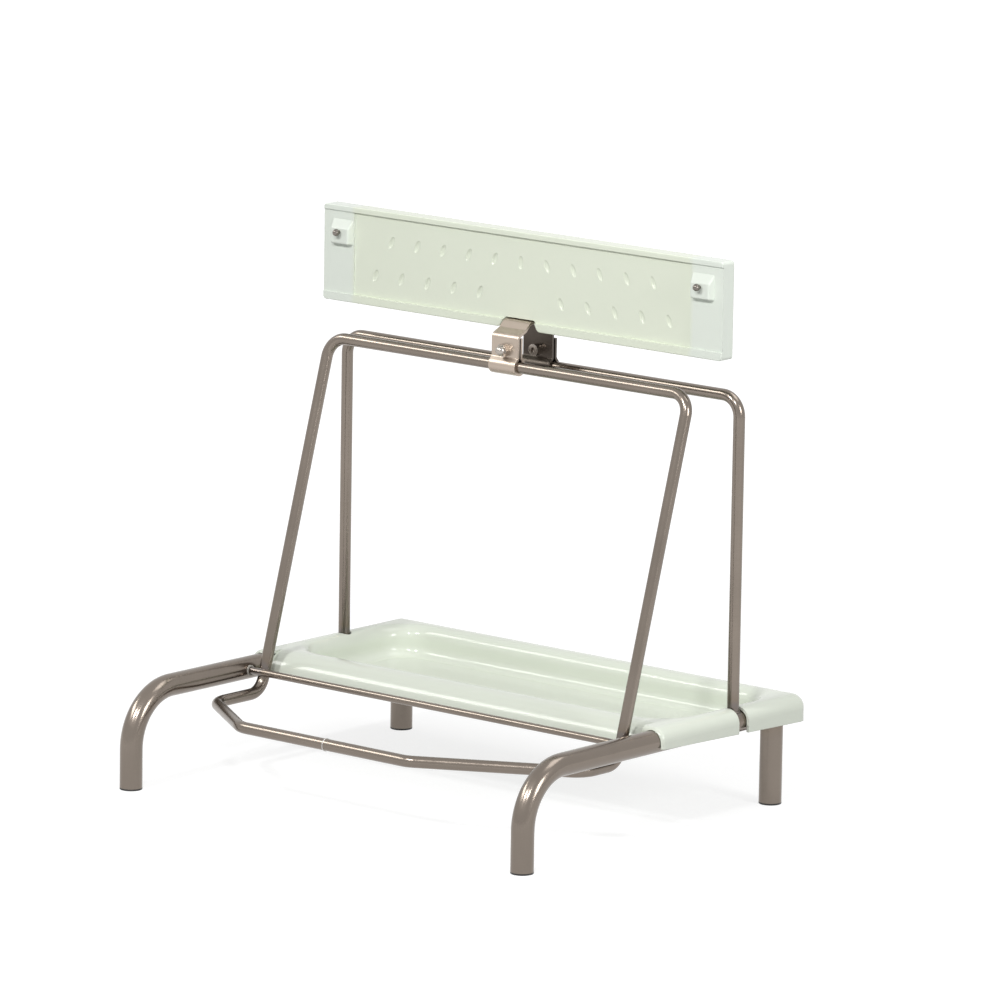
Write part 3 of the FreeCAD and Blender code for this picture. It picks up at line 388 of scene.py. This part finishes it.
def hinge_welds(side, x_side):
    """Swing rod against the axle, above and below the line of contact."""
    forward = Vector((0, -math.cos(LEAN), math.sin(LEAN)))
    for label, up in (("upper", 1), ("lower", -1)):
        along = Vector((0, math.sin(LEAN), math.cos(LEAN)))*up
        middle = Vector((x_side*SWING_X, AXLE_Y, RAIL_Z)) - forward*HINGE_BACK + along*HINGE_ALONG
        points = [middle + Vector((HINGE_REACH*(k/HINGE_STEPS - 1), 0, 0))
                  + forward*HINGE_BOW*(1 - ((k - HINGE_STEPS)/HINGE_STEPS)**2)
                  for k in range(2*HINGE_STEPS + 1)]
        bead("%s_hinge_weld_%s" % (side, label), points, HINGE_BEAD, "swing_frame", False)


def pedal_seam():
    """The butt seam in the middle of the pedal bar."""
    points = [Vector((SEAM_X, PEDAL_Y + SEAM_RING*math.cos(t), PEDAL_Z + SEAM_RING*math.sin(t)))
              for t in circle(72)]
    bead("pedal_seam", points, SEAM_BEAD, "swing_frame", True, look=seam_steel)


for side, x_side, top in (("left", -1, leg_tops[0]), ("right", 1, leg_tops[1])):
    upright_weld(side, x_side)
    leg_weld(side, x_side, top)
    hinge_welds(side, x_side)
pedal_seam()


# ---- floor, world, lamps and camera

def seen_rays(n):
    """1 for rays that show the background: camera, glossy and transmission."""
    path = n.add("ShaderNodeLightPath")
    seen = n.math("MAXIMUM", path.outputs["Is Camera Ray"], path.outputs["Is Glossy Ray"])
    return n.math("MAXIMUM", seen, path.outputs["Is Transmission Ray"])


def add_floor():
    """White where it is seen, with the object's shadow, and grey for the light that it throws back."""
    n = material_nodes("floor_white")
    where = n.place()
    cloud = n.noise(where, 1.5, 2.0)
    pale = n.blend(n.spread(cloud, 0, 1), tone(0.42, 0.42, 0.42), tone(0.40, 0.40, 0.40))
    bounce = n.add("ShaderNodeBsdfDiffuse", {"Color": pale})
    away = n.add("ShaderNodeVectorMath", {0: where}, operation="LENGTH").outputs["Value"]
    shadowed = n.add("ShaderNodeBsdfDiffuse", {"Color": tone(0.34, 0.34, 0.34)})
    brightness = n.spread(away, 0.80, 1.0, 0.5, 2.0)
    glow = n.add("ShaderNodeEmission", {"Color": tone(1, 1, 1), "Strength": brightness})
    shown = n.add("ShaderNodeAddShader", {0: shadowed.outputs[0], 1: glow.outputs[0]})
    mix = n.add("ShaderNodeMixShader", {0: seen_rays(n), 1: bounce.outputs[0], 2: shown.outputs[0]})
    bpy.ops.mesh.primitive_plane_add(size=FLOOR_SIZE)
    floor = bpy.context.object
    floor.name = "floor"
    floor.data.materials.append(n.surface(mix))


def add_world():
    """White where it is seen, and a plain soft light on the object."""
    n = Nodes(bpy.data.worlds.new("studio"))
    bpy.context.scene.world = n.owner
    background = n.tree.nodes["Background"]
    background.inputs["Color"].default_value = tone(1, 1, 1)
    strength = n.spread(seen_rays(n), WORLD_LIGHT, 1.0, 0.0, 1.0)
    n.tree.links.new(strength, background.inputs["Strength"])


def add_lamp(name, place, size, energy):
    light = bpy.data.lights.new(name, "AREA")
    light.shape = "RECTANGLE"
    light.size, light.size_y = size
    light.energy = energy
    thing = bpy.data.objects.new(name, light)
    thing.location = place
    thing.rotation_euler = (Vector(MIDDLE) - Vector(place)).to_track_quat("-Z", "Y").to_euler()
    bpy.context.scene.collection.objects.link(thing)


def add_soft_card(name, place, size, strength, color):
    """A bright card that only reflections see: the soft line of light along the bars."""
    n = material_nodes("soft_card")
    uneven = n.spread(n.noise(n.place(), 2.0, 1.0), strength*0.8, strength*1.2)
    glow = n.add("ShaderNodeEmission", {"Color": color, "Strength": uneven})
    bpy.ops.mesh.primitive_plane_add(size=1)
    card = bpy.context.object
    card.name = name
    for corner in card.data.vertices:
        corner.co = (corner.co.x*size[0], corner.co.y*size[1], 0)
    card.location = place
    card.rotation_euler = (Vector(MIDDLE) - Vector(place)).to_track_quat("Z", "Y").to_euler()
    card.data.materials.append(n.surface(glow))
    card.visible_camera = False
    card.visible_diffuse = False
    card.visible_shadow = False


def add_camera():
    back = Vector((math.sin(AZIMUTH)*math.cos(ELEVATION), -math.cos(AZIMUTH)*math.cos(ELEVATION),
                   math.sin(ELEVATION)))
    right = Vector((math.cos(AZIMUTH), math.sin(AZIMUTH), 0))
    up = back.cross(right)
    across = right*math.cos(ROLL) + up*math.sin(ROLL)
    above = up*math.cos(ROLL) - right*math.sin(ROLL)
    data = bpy.data.cameras.new("camera")
    data.sensor_width = SENSOR
    data.lens = LENS
    camera = bpy.data.objects.new("camera", data)
    matrix = Matrix((across, above, back)).transposed().to_4x4()
    matrix.translation = CAMERA_PLACE
    camera.matrix_world = matrix
    bpy.context.scene.collection.objects.link(camera)
    bpy.context.scene.camera = camera


add_floor()
add_world()
for lamp in LAMPS:
    add_lamp(*lamp)
add_soft_card("flag_soft_left", (-2.2, -1.8, 2.4), (2.2, 0.62), 8.5, tone(1, 1, 0.97))
add_camera()
bpy.context.scene.view_settings.view_transform = "Standard"
